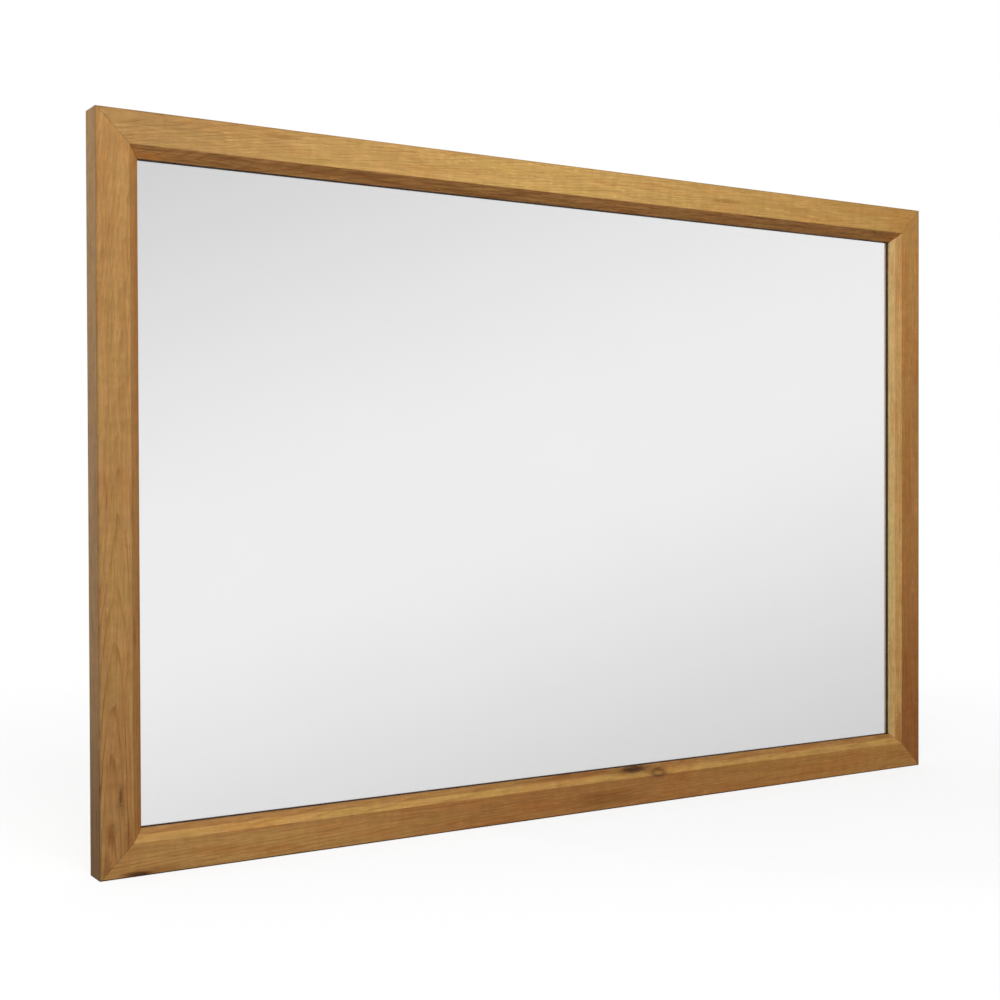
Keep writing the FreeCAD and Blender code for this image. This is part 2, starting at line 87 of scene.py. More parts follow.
class Wire:
    """A number in a node tree. Arithmetic on it adds Math nodes, so that a pattern reads as a formula."""

    def __init__(self, tree, socket):
        self.tree = tree
        self.socket = socket

    def math(self, operation, *others):
        node = self.tree.nodes.new("ShaderNodeMath")
        node.operation = operation
        for place, value in zip(node.inputs, (self, *others)):
            feed(self.tree, place, value)
        return Wire(self.tree, node.outputs[0])

    def __add__(self, other):
        return self.math("ADD", other)

    def __sub__(self, other):
        return self.math("SUBTRACT", other)

    def __mul__(self, other):
        return self.math("MULTIPLY", other)

    def __truediv__(self, other):
        return self.math("DIVIDE", other)

    __radd__ = __add__
    __rmul__ = __mul__

    def __rsub__(self, other):
        return (self * -1.0) + other

    def __abs__(self):
        return self.math("ABSOLUTE")

    def root(self):
        return self.math("SQRT")

    def part(self):
        """What is left of it above the whole number below."""
        return self.math("FRACT")

    def most(self, other):
        return self.math("MAXIMUM", other)

    def power(self, other):
        return self.math("POWER", other)

    def rise(self, low, high):
        """0 below low, 1 above high, with a smooth step between. With high under low it falls instead."""
        node = self.tree.nodes.new("ShaderNodeMapRange")
        node.interpolation_type = "SMOOTHSTEP"
        turned = high < low
        feed(self.tree, node.inputs["Value"], self)
        node.inputs["From Min"].default_value = min(low, high)
        node.inputs["From Max"].default_value = max(low, high)
        node.inputs["To Min"].default_value = 1.0 if turned else 0.0
        node.inputs["To Max"].default_value = 0.0 if turned else 1.0
        return Wire(self.tree, node.outputs["Result"])

    def line(self, low, high, to_low, to_high):
        """A straight ramp from to_low at low to to_high at high, held beyond them."""
        node = self.tree.nodes.new("ShaderNodeMapRange")
        feed(self.tree, node.inputs["Value"], self)
        node.inputs["From Min"].default_value = low
        node.inputs["From Max"].default_value = high
        node.inputs["To Min"].default_value = to_low
        node.inputs["To Max"].default_value = to_high
        return Wire(self.tree, node.outputs["Result"])


def feed(tree, place, value):
    """Links a wire to a socket, or sets the socket to a plain value."""
    if isinstance(value, Wire):
        tree.links.new(value.socket, place)
    else:
        place.default_value = value


def linear(red, green, blue):
    """A colour in sRGB, 0 to 255, as the linear colour that shaders use."""

    def one(value):
        share = value / 255.0
        return share / 12.92 if share <= 0.04045 else ((share + 0.055) / 1.055) ** 2.4

    return (one(red), one(green), one(blue), 1.0)


FIRST_COLOUR, SECOND_COLOUR, MIXED_COLOUR = 6, 7, 2  # the Mix node's colour sockets


class Pattern:
    """A material's node tree, with the object's coordinates in millimetres as x, y and z."""

    def __init__(self, name):
        self.material = bpy.data.materials.new(name)
        self.material.use_nodes = True
        self.tree = self.material.node_tree
        self.shader = self.tree.nodes["Principled BSDF"]
        coordinates = self.tree.nodes.new("ShaderNodeTexCoord")
        scaled = self.tree.nodes.new("ShaderNodeVectorMath")
        scaled.operation = "SCALE"
        scaled.inputs["Scale"].default_value = MM
        self.tree.links.new(coordinates.outputs["Object"], scaled.inputs[0])
        parts = self.tree.nodes.new("ShaderNodeSeparateXYZ")
        self.tree.links.new(scaled.outputs[0], parts.inputs[0])
        self.place = Wire(self.tree, scaled.outputs[0])
        self.x, self.y, self.z = (Wire(self.tree, parts.outputs[k]) for k in range(3))

    def vector(self, x, y, z):
        node = self.tree.nodes.new("ShaderNodeCombineXYZ")
        for place, value in zip(node.inputs, (x, y, z)):
            feed(self.tree, place, value)
        return Wire(self.tree, node.outputs[0])

    def stretched(self, place, sizes, seed):
        """Coordinates in units of sizes, moved by the seed so that no two patterns are alike."""
        node = self.tree.nodes.new("ShaderNodeMapping")
        feed(self.tree, node.inputs["Vector"], place)
        node.inputs["Location"].default_value = (seed * 7.31, seed * 3.77, seed * 5.13)
        node.inputs["Scale"].default_value = [1.0 / size for size in sizes]
        return node.outputs[0]

    def noise(self, sizes, seed, place=None, detail=2.0, roughness=0.5):
        """Noise about 0.5, with blotches as large as sizes, in millimetres."""
        node = self.tree.nodes.new("ShaderNodeTexNoise")
        node.inputs["Scale"].default_value = 1.0
        node.inputs["Detail"].default_value = detail
        node.inputs["Roughness"].default_value = roughness
        self.tree.links.new(self.stretched(place or self.place, sizes, seed), node.inputs["Vector"])
        return Wire(self.tree, node.outputs["Fac"])

    def cells(self, size, seed):
        """Distance to the nearest of many scattered points, in units of size."""
        node = self.tree.nodes.new("ShaderNodeTexVoronoi")
        node.inputs["Scale"].default_value = 1.0
        self.tree.links.new(self.stretched(self.place, (size, size, size), seed), node.inputs["Vector"])
        return Wire(self.tree, node.outputs["Distance"])

    def mix(self, share, first, second):
        """A colour from first, at 0, to second, at 1."""
        node = self.tree.nodes.new("ShaderNodeMix")
        node.data_type = "RGBA"
        feed(self.tree, node.inputs["Factor"], share)
        feed(self.tree, node.inputs[FIRST_COLOUR], first)
        feed(self.tree, node.inputs[SECOND_COLOUR], second)
        return Wire(self.tree, node.outputs[MIXED_COLOUR])

    def tint(self, share, colour, ratio):
        """The colour multiplied by ratio, as far as share says."""
        node = self.tree.nodes.new("ShaderNodeMix")
        node.data_type = "RGBA"
        node.blend_type = "MULTIPLY"
        feed(self.tree, node.inputs["Factor"], share)
        feed(self.tree, node.inputs[FIRST_COLOUR], colour)
        feed(self.tree, node.inputs[SECOND_COLOUR], ratio)
        return Wire(self.tree, node.outputs[MIXED_COLOUR])

    def bright(self, colour, factor):
        """The colour times a number."""
        node = self.tree.nodes.new("ShaderNodeVectorMath")
        node.operation = "SCALE"
        feed(self.tree, node.inputs[0], colour)
        feed(self.tree, node.inputs["Scale"], factor)
        return Wire(self.tree, node.outputs[0])

    def finish(self, colour, roughness, bump=None, depth=0.1, metallic=0.0, specular=0.5):
        """Feeds the shader. depth is how deep the bump is, in millimetres."""
        feed(self.tree, self.shader.inputs["Base Color"], colour)
        feed(self.tree, self.shader.inputs["Roughness"], roughness)
        self.shader.inputs["Metallic"].default_value = metallic
        self.shader.inputs["Specular IOR Level"].default_value = specular
        if bump is not None:
            node = self.tree.nodes.new("ShaderNodeBump")
            node.inputs["Distance"].default_value = depth / MM
            feed(self.tree, node.inputs["Height"], bump)
            self.tree.links.new(node.outputs["Normal"], self.shader.inputs["Normal"])
        return self.material


# ---------------------------------------------------------------- oak

# what each feature multiplies the wood's own red, green and blue by
PALE = (1.14, 1.17, 1.2, 1.0)  # streaks of paler wood
LATE = (0.66, 0.56, 0.46, 1.0)  # the dense wood that ends a ring
PORE = (0.55, 0.46, 0.38, 1.0)
FLECK = (1.22, 1.32, 1.5, 1.0)  # ray flecks and rubbed edges
RED = (0.95, 0.83, 0.7, 1.0)  # redder zones
OLIVE = (0.93, 0.98, 0.84, 1.0)  # greener zones
ORANGE = (1.35, 1.1, 0.8, 1.0)
KNOT = (0.2, 0.15, 0.13, 1.0)
DARK_JOINT_AND_SHADE = (0.16, 0.13, 0.12, 1.0)  # a joint, and painted shade on the outer arris

# each kind of mark but the knot: how strong it is, and what it multiplies the colour by
MARKS = {
    "stain": (0.95, KNOT),
    "scar": (0.6, KNOT),
    "blush": (0.7, LATE),
    "glow": (0.8, ORANGE),
    "pale": (0.7, PALE),
    "warm": (0.8, RED),
}

MITRE_LINE = 0.2  # half width of the dark line at a mitre, millimetres
OAK_GLOSS = 0.22  # specular level of oiled oak
OAK_RELIEF = 0.08  # depth of the grain, millimetres


def spot(pattern, along, across, centre, size, seed, ragged=0.35, soft=0.6):
    """1 in the middle of an oval of that half size, 0 outside it, with a ragged, soft edge."""
    first = (along - centre[0]) / size[0]
    second = (across - centre[1]) / size[1]
    reach = (first * first + second * second).root()
    edge = pattern.noise((size[0] * 0.7, size[1] * 0.7, size[1] * 0.7), seed, detail=3.0) - 0.5
    return (reach + edge * (2.0 * ragged)).rise(1.0 + soft * 0.5, 1.0 - soft)


def oak(
    name,
    upright,
    mirrored,
    seed,
    pith,
    rings,
    figure,
    flecks,
    red,
    arris_shade,
    tones,
    marks,
    bend=1.0,
    streaks=0.0,
):
    """One oak board, which starts at its left or bottom end and is mirrored on the top and the right.

    pith is where the middle of the tree lies at the start and the end: (across, depth) twice, from the
    outer edge and the front face. bend above 1 keeps it near its start for longer. rings is the width
    of a ring, and figure how strong the rings are at the start and the end.
    tones are the board's colours by place, some of them painted light and shade, flecks is how strong the ray
    flecks are, and red how strong the redder zones. The arris shade is how dark the painted shade on the
    outer arris is, and streaks how streaky the bevel is. marks are knots, stains and tinted patches: (along
    from the board's middle, across from its outer edge, half length, half width, kind). Lengths are in
    millimetres.
    """
    p = Pattern(name)
    side = -1.0 if mirrored else 1.0
    if upright:
        along = p.z
        edge = p.x * side + HALF_WIDTH
        half = HALF_HEIGHT
    else:
        along = p.x
        edge = p.z * side + HALF_HEIGHT
        half = HALF_WIDTH
    depth = p.y - FRONT
    flat = p.vector(along, edge, depth)
    flow = (p.noise((95.0, 22.0, 22.0), seed + 16.0, flat) - 0.5) * 11.0
    flow = flow + (p.noise((26.0, 8.0, 8.0), seed + 17.0, flat) - 0.5) * 2.6
    grain = p.vector(along, edge + flow, depth)

    # the board's colour by place: along the face, then over the bevel in two tones, the lip and the outer
    # side; the lip's tone is painted light and shade
    shade = {place: linear(*tone) for place, tone in tones.items()}
    waver = (p.noise((60.0, 4.0, 4.0), seed + 10.0, grain) - 0.5) * 1.2
    colour = p.mix(along.rise(-half, 0.0), shade["start"], shade["middle"])
    colour = p.mix(along.rise(0.0, half), colour, shade["end"])
    past_crest = (edge + waver * 0.3).rise(CREST - 0.5, CREST + 0.5)
    past_turn = (edge + waver).rise(BEVEL_TURN - 0.7, BEVEL_TURN + 0.7)
    colour = p.mix(past_crest, colour, shade["crest_half"])
    colour = p.mix(past_turn, colour, shade["glass_half"])
    # the lip: painted shade on the top rail, and a pale bare edge with painted light on the right stile
    colour = p.mix(edge.rise(LIP - 0.3, LIP - 0.1), colour, shade["lip"])
    # the outer side; on the left stile it is darker towards the bottom, which is painted shade
    outer = p.mix(along.rise(-half, -0.4 * half), shade["outer_start"], shade["outer_end"])
    colour = p.mix(edge.rise(1.3, 0.1) * depth.rise(0.3, 1.5), colour, outer)

    # the growth rings, cut by the faces of the board
    share = along.line(-half, half, 0.0, 1.0)
    pith_across = share.power(bend) * (pith[1][0] - pith[0][0]) + pith[0][0]
    pith_depth = share * (pith[1][1] - pith[0][1]) + pith[0][1]
    wander = (p.noise((150.0, 30.0, 30.0), seed, grain, detail=2.0) - 0.5) * 6.0
    ripple = (p.noise((34.0, 9.0, 9.0), seed + 1.0, grain) - 0.5) * 0.8
    crowding = (p.noise((500.0, 5.0, 5.0), seed + 13.0, grain) - 0.5) * 5.0
    aside = edge - pith_across
    behind = depth - pith_depth
    radius = (aside * aside + behind * behind).root() + wander + ripple
    radius = radius + crowding * share.line(0.3, 0.8, 0.15, 1.0)
    for centre_along, centre_across, half_length, half_width, kind in marks:
        if kind == "knot":
            centre = (centre_along, centre_across)
            size = (half_length * 3.0, half_width * 3.4)
            swirl = spot(p, along, edge, centre, size, seed + 9.0, soft=0.95)
            radius = radius + swirl * 4.5
    ring = (radius / rings).part()
    late = ring.rise(0.62, 0.94) * ring.rise(1.0, 0.95)
    ripening = ring.rise(0.1, 0.9)
    uneven = p.noise((150.0, 6.0, 6.0), seed + 2.0, grain, detail=3.0).rise(0.36, 0.66)
    strength = share.line(0.15, 0.65, figure[0], figure[1])

    # fibres, pores and ray flecks run with the grain
    fibre = p.noise((38.0, 0.8, 0.8), seed + 3.0, grain, detail=3.0, roughness=0.62)
    streak = p.noise((150.0, 3.4, 3.4), seed + 4.0, grain, detail=3.0)
    pore = p.noise((7.0, 0.4, 0.4), seed + 5.0, grain, detail=1.0).rise(0.6, 0.7)
    pore = pore * ring.rise(0.6, 0.05).line(0.0, 1.0, 0.3, 1.0)
    fleck = p.noise((9.0, 1.5, 1.5), seed + 6.0, grain, detail=2.0, roughness=0.6).rise(0.56, 0.68)
    fleck_area = p.noise((55.0, 12.0, 12.0), seed + 7.0, grain).rise(0.42, 0.6)
    cloud = p.noise((80.0, 14.0, 14.0), seed + 8.0, grain, detail=3.0)
    mottle = p.noise((11.0, 16.0, 16.0), seed + 8.5, grain, detail=3.0) - 0.5
    brush = p.noise((26.0, 2.2, 2.2), seed + 14.0, grain, detail=3.0, roughness=0.6) - 0.5
    dark_streak = p.noise((75.0, 2.4, 2.4), seed + 15.0, grain, detail=3.0, roughness=0.6)

    colour = p.tint(streak.rise(0.36, 0.66), colour, PALE)
    colour = p.tint(cloud.rise(0.46, 0.68) * red * 1.6, colour, RED)
    colour = p.tint(cloud.rise(0.5, 0.34) * 0.55, colour, OLIVE)
    colour = p.tint(ripening * strength * 0.34, colour, RED)
    colour = p.tint(late * uneven.line(0.0, 1.0, 0.08, 0.8) * strength, colour, LATE)
    colour = p.tint(pore * 0.45, colour, PORE)
    colour = p.tint(fleck * fleck_area * flecks, colour, FLECK)
    in_bevel = past_crest * streaks
    colour = p.tint(dark_streak.rise(0.48, 0.64) * in_bevel * 0.9, colour, LATE)
    colour = p.tint(dark_streak.rise(0.44, 0.34) * in_bevel, colour, PALE)
    colour = p.bright(colour, ((fibre - 0.5) * 0.5 + brush * 0.4 + 0.98) * (mottle * 0.36 + 1.0))

    # knots, stains and patches, then the mitres and painted shade on the outer arris
    for number, (centre_along, centre_across, half_length, half_width, kind) in enumerate(marks):
        centre = (centre_along, centre_across)
        size = (half_length, half_width)
        if kind == "knot":
            halo_size = (half_length * 1.7, half_width * 1.6)
            heart_size = (half_length * 0.55, half_width * 0.5)
            halo = spot(p, along, edge, centre, halo_size, seed + 21.0 + number, soft=0.9)
            heart = spot(p, along, edge, centre, heart_size, seed + 31.0 + number)
            body = spot(p, along, edge, centre, size, seed + 11.0 + number)
            colour = p.tint(halo * 0.55, colour, LATE)
            colour = p.tint(body * (heart * -0.8 + 1.0) * 0.75, colour, KNOT)
        else:
            force, ratio = MARKS[kind]
            blot = spot(p, along, edge, centre, size, seed + 11.0 + number, ragged=0.7, soft=0.7)
            colour = p.tint(blot * force, colour, ratio)
    mitre = abs(abs(along) + edge - half).rise(MITRE_LINE + 0.4, MITRE_LINE)
    colour = p.tint(mitre * 0.5, colour, DARK_JOINT_AND_SHADE)
    # painted shade: the outer arris darkened, most on the bottom rail and the right stile
    painted_arris_shade = edge.rise(2.0, 1.2) * depth.rise(4.0, 2.0) * arris_shade
    colour = p.tint(painted_arris_shade, colour, DARK_JOINT_AND_SHADE)

    # wear: the arrises are rubbed a little paler and smoother
    outer_arris = depth.rise(1.6, 0.2) * edge.rise(2.6, 0.6)
    crest_arris = abs(edge - CREST).rise(1.3, 0.2) * depth.rise(1.0, 0.3)
    handled = (outer_arris + crest_arris) * p.noise((35.0, 9.0, 9.0), seed + 12.0, grain).rise(0.4, 0.66)
    colour = p.tint(handled * 0.3, colour, FLECK)

    roughness = (fibre - 0.5) * 0.2 + pore * 0.16 + handled * -0.08 + painted_arris_shade * 0.45 + 0.5
    bump = fibre * 0.5 + pore * -0.9 + late * 0.25 + mitre * -1.2
    return p.finish(colour, roughness, bump, depth=OAK_RELIEF, specular=OAK_GLOSS)


# ---------------------------------------------------------------- the other materials


PRESS_GRID = 2.4  # the lozenges pressed into the biscuits, millimetres


def beech():
    """Pressed beech biscuits: pale, with short dark ray lines and a lozenge grid pressed in."""
    p = Pattern("pressed_beech")
    rays = p.noise((3.2, 0.5, 0.5), 41.0, detail=1.0).rise(0.58, 0.66)
    cloud = p.noise((14.0, 6.0, 6.0), 42.0)
    rising = ((p.x + p.z) / PRESS_GRID).part().rise(0.9, 0.98)
    falling = ((p.x - p.z) / PRESS_GRID).part().rise(0.9, 0.98)
    pressed = rising + falling
    colour = p.mix(cloud, linear(206, 166, 120), linear(222, 186, 142))
    colour = p.mix(rays * 0.5, colour, linear(150, 104, 64))
    return p.finish(colour, cloud * 0.1 + 0.6, pressed * -1.0 + rays * 0.2, depth=0.12)


GLASS_IOR = 1.5


def glass():
    """Clear float glass, with the faintest wipe marks in its polish."""
    p = Pattern("float_glass")
    wipes = p.noise((90.0, 30.0, 14.0), 51.0, detail=3.0).rise(0.5, 0.85)
    p.shader.inputs["Base Color"].default_value = (1.0, 1.0, 1.0, 1.0)
    p.shader.inputs["Transmission Weight"].default_value = 1.0
    p.shader.inputs["IOR"].default_value = GLASS_IOR
    feed(p.tree, p.shader.inputs["Roughness"], wipes * 0.004)
    return p.material


FILM_WEAVE = 1.6  # one thread and its gap, millimetres


def silver():
    """The mirror film: silver on its face, grey paint and a woven safety film on its back and edges."""
    p = Pattern("mirror_silver")
    behind = p.y.rise(FILM_BACK - 0.01, FILM_BACK + 0.01)
    weave = ((p.x / FILM_WEAVE).part() - 0.5) * ((p.z / FILM_WEAVE).part() - 0.5)
    haze = p.noise((160.0, 40.0, 120.0), 53.0, detail=3.0)
    face = p.mix(haze, linear(243, 243, 243), linear(245, 245, 245))
    paint = p.mix(abs(weave) * 3.0, linear(112, 116, 118), linear(138, 142, 144))
    feed(p.tree, p.shader.inputs["Metallic"], behind * -1.0 + 1.0)
    feed(p.tree, p.shader.inputs["Base Color"], p.mix(behind, face, paint))
    feed(p.tree, p.shader.inputs["Roughness"], behind * 0.55 + haze * 0.003)
    return p.material


def foam():
    """Closed-cell cushion foam: dark grey, with fine bubbles."""
    p = Pattern("cushion_foam")
    bubbles = p.cells(0.7, 61.0)
    cloud = p.noise((9.0, 9.0, 9.0), 62.0)
    colour = p.mix(bubbles.rise(0.2, 0.8), linear(52, 53, 56), linear(86, 87, 91))
    return p.finish(p.bright(colour, cloud * 0.3 + 0.85), bubbles * 0.1 + 0.82, bubbles, depth=0.25)


def cork():
    """Setting blocks of rubber-bonded cork: brown granules in black."""
    p = Pattern("rubber_cork")
    grains = p.cells(1.7, 65.0)
    shade = p.noise((2.3, 2.3, 2.3), 66.0)
    colour = p.mix(shade.rise(0.35, 0.65), linear(120, 82, 50), linear(164, 122, 80))
    colour = p.mix(grains.rise(0.55, 0.75), colour, linear(38, 34, 32))
    return p.finish(colour, shade * 0.15 + 0.75, grains * -1.0, depth=0.2)


def board():
    """Medium density fibreboard: fine pale and dark fibres, sanded smooth, with a few handling marks."""
    p = Pattern("fibreboard")
    fibres = p.noise((3.4, 1.0, 0.7), 71.0, detail=3.0, roughness=0.65)
    crossed = p.noise((0.8, 1.0, 3.1), 72.0, detail=3.0, roughness=0.65)
    specks = p.noise((1.1, 1.1, 1.1), 73.0, detail=1.0).rise(0.68, 0.76)
    cloud = p.noise((240.0, 60.0, 160.0), 74.0, detail=3.0)
    sanding = p.noise((400.0, 2.0, 1.3), 75.0, detail=2.0)
    scuff = p.noise((2.0, 6.0, 70.0), 76.0, detail=2.0).rise(0.7, 0.8) * cloud.rise(0.5, 0.65)
    blend = (fibres + crossed) * 0.5
    colour = p.mix(blend.rise(0.3, 0.7), linear(164, 130, 93), linear(186, 153, 114))
    colour = p.mix(specks * 0.55, colour, linear(104, 74, 48))
    colour = p.mix(scuff * 0.35, colour, linear(212, 184, 146))
    colour = p.bright(colour, cloud * 0.16 + 0.92)
    return p.finish(colour, blend * 0.16 + 0.62, blend + sanding * 0.5, depth=0.02, specular=0.3)


def rubber():
    """Wall bumpers of dark rubber, dusty in places."""
    p = Pattern("bumper_rubber")
    dust = p.noise((3.0, 3.0, 3.0), 81.0, detail=4.0, roughness=0.65)
    grain = p.noise((0.22, 0.22, 0.22), 82.0, detail=1.0)
    colour = p.mix(dust.rise(0.45, 0.75), linear(34, 34, 36), linear(72, 70, 68))
    return p.finish(colour, dust * 0.25 + 0.52, grain, depth=0.03, specular=0.35)


def steel(name, seed, pale, dark, roughness, drawn):
    """Plated steel between two colours. drawn is the size of the marks left by rolling or drawing."""
    p = Pattern(name)
    marks = p.noise(drawn, seed, detail=3.0, roughness=0.6)
    bloom = p.noise((5.0, 5.0, 5.0), seed + 1.0, detail=3.0)
    scratch = p.noise((0.16, 2.0, 5.5), seed + 2.0, detail=1.0).rise(0.68, 0.74)
    tarnish = p.noise((2.2, 2.2, 2.2), seed + 3.0, detail=4.0, roughness=0.62).rise(0.52, 0.78)
    colour = p.mix(marks.rise(0.3, 0.7), linear(*dark), linear(*pale))
    colour = p.mix(tarnish * 0.5, colour, linear(132, 122, 100))
    colour = p.mix(scratch * 0.4, colour, linear(236, 236, 232))
    rough = marks * 0.14 + bloom * 0.14 + tarnish * 0.16 + scratch * -0.08 + (roughness - 0.14)
    return p.finish(colour, rough, marks * 0.6 + scratch * -0.6, depth=0.012, metallic=1.0)


BOARDS = {
    "top_rail": oak(
        "oak_top",
        upright=False,
        mirrored=True,
        seed=3.0,
        pith=((14.0, 20.0), (-60.0, 70.0)),
        rings=2.6,
        bend=0.6,
        figure=(0.8, 0.7),
        flecks=1.0,
        red=0.3,
        arris_shade=0.4,
        streaks=1.0,
        marks=(
            (-537.0, 44.5, 17.0, 2.6, "glow"),
            (-350.0, 41.0, 80.0, 3.0, "blush"),
            (-180.0, 45.0, 90.0, 2.2, "blush"),
            (-395.0, 9.0, 26.0, 2.6, "blush"),
            (240.0, 20.0, 34.0, 3.0, "blush"),
            (572.0, 20.0, 50.0, 26.0, "warm"),
            (-210.0, 43.0, 300.0, 11.0, "pale"),
            (-380.0, 19.0, 110.0, 18.0, "pale"),
        ),
        tones={
            "start": (177, 135, 79),
            "middle": (212, 167, 97),
            "end": (211, 161, 89),
            "crest_half": (200, 141, 79),
            "glass_half": (197, 138, 76),
            # painted shade: the lip faces down, away from the light
            "lip": (84, 56, 34),
            "outer_start": (186, 146, 92),
            "outer_end": (186, 146, 92),
        },
    ),
    "bottom_rail": oak(
        "oak_bottom",
        upright=False,
        mirrored=False,
        seed=17.0,
        pith=((-50.0, 60.0), (-14.0, 34.0)),
        rings=3.0,
        figure=(0.8, 0.7),
        flecks=0.9,
        red=0.5,
        arris_shade=0.9,
        tones={
            "start": (197, 147, 84),
            "middle": (182, 125, 66),
            "end": (196, 138, 70),
            "crest_half": (200, 152, 84),
            "glass_half": (180, 130, 72),
            "lip": (120, 80, 44),
            "outer_start": (170, 124, 74),
            "outer_end": (170, 124, 74),
        },
        marks=(
            (94.0, 44.6, 25.0, 5.0, "stain"),
            (79.0, 42.5, 30.0, 4.0, "blush"),
            (127.0, 38.0, 14.0, 5.4, "knot"),
            (-559.0, 2.8, 17.0, 2.6, "stain"),
            (-540.0, 4.0, 34.0, 5.0, "blush"),
            (40.0, 14.0, 60.0, 8.0, "blush"),
            (-5.0, 46.0, 75.0, 3.2, "blush"),
            (470.0, 43.0, 170.0, 12.0, "pale"),
            (-370.0, 18.0, 120.0, 18.0, "pale"),
        ),
    ),
    "left_stile": oak(
        "oak_left",
        upright=True,
        mirrored=False,
        seed=29.0,
        pith=((12.0, 9.0), (64.0, 50.0)),
        rings=3.1,
        bend=2.0,
        figure=(1.3, 0.45),
        flecks=0.45,
        red=0.4,
        arris_shade=0.25,
        marks=(
            (-314.0, 22.0, 10.0, 1.8, "scar"),
            (-318.0, 23.0, 20.0, 3.4, "blush"),
            (-360.0, 30.0, 20.0, 5.0, "blush"),
            (-388.0, 8.0, 17.0, 6.0, "blush"),
            (-352.0, 12.0, 14.0, 6.0, "blush"),
        ),
        tones={
            "start": (187, 139, 83),
            "middle": (190, 142, 84),
            "end": (182, 135, 77),
            "crest_half": (193, 137, 74),
            "glass_half": (192, 131, 66),
            "lip": (150, 104, 60),
            # painted shade: the outer side darker towards the bottom
            "outer_start": (139, 100, 52),
            "outer_end": (178, 137, 86),
        },
    ),
    "right_stile": oak(
        "oak_right",
        upright=True,
        mirrored=True,
        seed=43.0,
        pith=((70.0, 36.0), (50.0, 24.0)),
        rings=3.2,
        figure=(0.6, 0.6),
        flecks=0.9,
        red=0.5,
        arris_shade=0.9,
        marks=((-352.0, 38.4, 40.0, 3.4, "blush"),),
        tones={
            # darker towards the bottom: partly the wood's own change, partly painted shade
            "start": (165, 103, 46),
            "middle": (191, 133, 70),
            "end": (202, 147, 80),
            "crest_half": (205, 158, 94),
            "glass_half": (216, 178, 114),
            # a pale bare edge with painted light: the lip faces the key light
            "lip": (208, 182, 136),
            "outer_start": (190, 142, 90),
            "outer_end": (190, 142, 90),
        },
    ),
}

for node, material in BOARDS.items():
    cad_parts[node].data.materials[0] = material

FINISHES = {
    "beech": beech(),
    "glass": glass(),
    "silvering": silver(),
    "foam": foam(),
    "cork": cork(),
    "mdf": board(),
    "rubber": rubber(),
    "button_steel": steel("button_plate", 91.0, (206, 203, 192), (176, 174, 166), 0.34, (9.0, 4.0, 0.35)),
    "strap_steel": steel("strap_plate", 101.0, (200, 200, 196), (166, 167, 166), 0.4, (0.4, 3.0, 8.0)),
    "ring_steel": steel("ring_plate", 111.0, (214, 212, 204), (184, 184, 180), 0.26, (2.0, 0.5, 6.0)),
    "screw_steel": steel("screw_plate", 121.0, (196, 190, 168), (160, 156, 142), 0.36, (0.5, 2.0, 0.5)),
}

for node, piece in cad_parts.items():
    if node not in BOARDS:
        slot = piece.data.materials[0].name
        piece.data.materials[0] = FINISHES[slot]


# ---------------------------------------------------------------- the mirror film

FILM_CORNER = 0.001  # radius of its corners
CORNER_STEPS = 4  # straight edges in one rounded corner


def pane_mesh(name, low, high, corner):
    """A thin pane with rounded corners, from low to high and centred on the frame's middle."""
    mesh = bmesh.new()
    outline = []
    for turn, (across, rise) in enumerate(((1.0, 1.0), (-1.0, 1.0), (-1.0, -1.0), (1.0, -1.0))):
        centre = Vector((across * (high.x - corner), 0.0, rise * (high.z - corner)))
        for step in range(CORNER_STEPS + 1):
            angle = math.radians(90.0 * (turn + step / CORNER_STEPS))
            outline.append(centre + Vector((math.cos(angle), 0.0, math.sin(angle))) * corner)
    front, back = ([mesh.verts.new((point.x, y, point.z)) for point in outline] for y in (low.y, high.y))
    mesh.faces.new(front)
    mesh.faces.new(reversed(back))
    count = len(outline)
    for k in range(count):
        after = (k + 1) % count
        mesh.faces.new((front[after], front[k], back[k], back[after]))
    bmesh.ops.recalc_face_normals(mesh, faces=mesh.faces)
    data = bpy.data.meshes.new(name)
    mesh.to_mesh(data)
    mesh.free()
    return data


film = bpy.data.objects.new("mirror_film", pane_mesh("mirror_film", film_low, film_high, FILM_CORNER))
bpy.context.scene.collection.objects.link(film)
film.data.materials.append(FINISHES["silvering"])
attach(film, "frame")
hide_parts("mirror_silvering")


# ---------------------------------------------------------------- stage

FLOOR_RADIUS = 3.0
FLOOR_SOLID = 0.5  # the floor starts to fade this far from the mirror's middle
FLOOR_END = 1.8  # and has faded out here
FLOOR_CLEAR = 0.8  # how much of the white backdrop it lets through, which keeps its shadow faint


